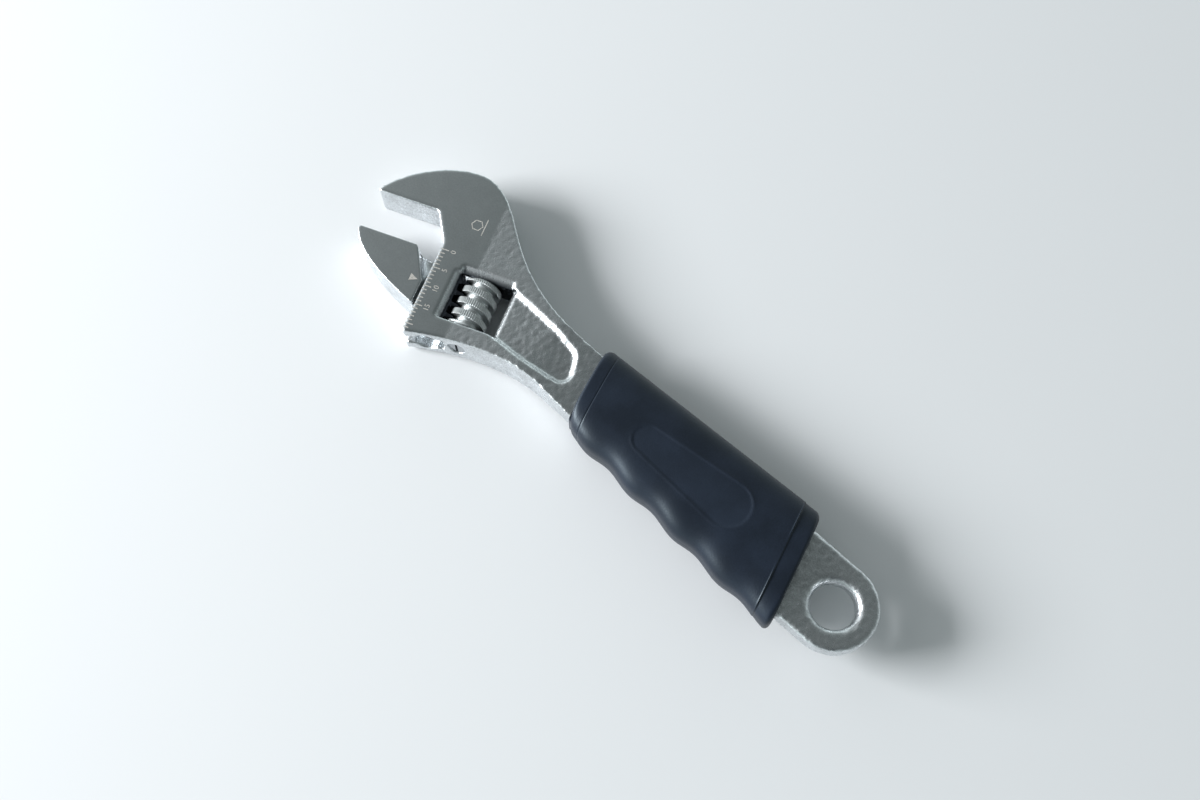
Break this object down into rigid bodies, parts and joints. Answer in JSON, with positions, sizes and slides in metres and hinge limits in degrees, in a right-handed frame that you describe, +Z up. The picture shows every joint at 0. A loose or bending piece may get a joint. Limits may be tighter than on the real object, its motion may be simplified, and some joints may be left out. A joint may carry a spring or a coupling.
{
  "type": "adjustable wrench",
  "caption": "Adjustable open-end wrench with a worm-driven sliding jaw, a millimetre guide edge, a finger-grooved rubber sleeve and a hanging hole.",
  "frame": {"origin": "centre of the hanging hole, at half the thickness", "axes": "+X along the handle towards the jaws, +Y towards the side that the moving jaw slides out of, +Z up through the thickness"},
  "size_m": [0.1489, 0.0411, 0.0116],
  "materials": {
    "chrome": "satin chrome plate over a forging",
    "steel": "plain turned steel",
    "rubber": "matte blue-black moulded rubber"
  },
  "bodies": {
    "handle": {"body": "chrome", "worm_pin": "steel", "worm_spring": "steel", "grip": "rubber"},
    "worm": {"worm": "chrome"},
    "jaw": {"movable_jaw": "chrome"}
  },
  "joints": [
    {"name": "worm_turn", "type": "hinge", "parent": "handle", "child": "worm", "pos_m": [0.10238, 0.0028, 0], "axis": [-0.3827, 0.9239, 0], "range_deg": [-1190, 1202]},
    {"name": "jaw_slide", "type": "slide", "parent": "handle", "child": "jaw", "axis": [-0.3827, 0.9239, 0], "range_m": [-0.0099, 0.01]}
  ],
  "couplings": [
    {"joint": "worm_turn", "follows": "jaw_slide", "rad_per_m": 2094.4}
  ]
}
